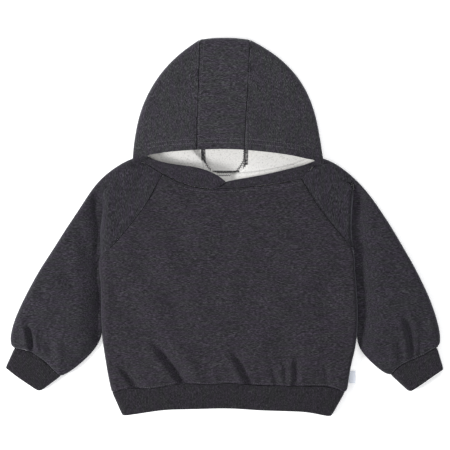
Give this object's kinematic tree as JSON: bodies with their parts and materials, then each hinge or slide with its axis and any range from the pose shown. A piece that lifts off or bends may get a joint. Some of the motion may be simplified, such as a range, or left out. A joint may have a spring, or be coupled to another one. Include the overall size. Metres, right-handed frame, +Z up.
{
  "type": "toddler hoodie",
  "caption": "toddler's pullover hoodie in sweatshirt fleece, laid flat: raglan sleeves, rib cuffs and waistband, panelled hood with crossed front edges",
  "frame": {"origin": "on the surface that the garment lies on, under the middle of its whole length and width", "axes": "+X to the wearer's left, along the longest side; +Y towards the crown of the hood; +Z up off the surface, out of the front of the body"},
  "size_m": [0.567, 0.489, 0.0318],
  "materials": {
    "fleece": "charcoal melange sweatshirt fleece",
    "rib": "charcoal melange rib knit",
    "label": "white satin ribbon"
  },
  "bodies": {
    "root": {"front_body": "fleece", "back_body": "fleece", "right_sleeve": "fleece", "left_sleeve": "fleece", "hood_right_side": "fleece", "hood_left_side": "fleece", "hood_centre": "fleece", "waistband": "rib", "right_cuff": "rib", "left_cuff": "rib", "side_label": "label"}
  },
  "joints": []
}
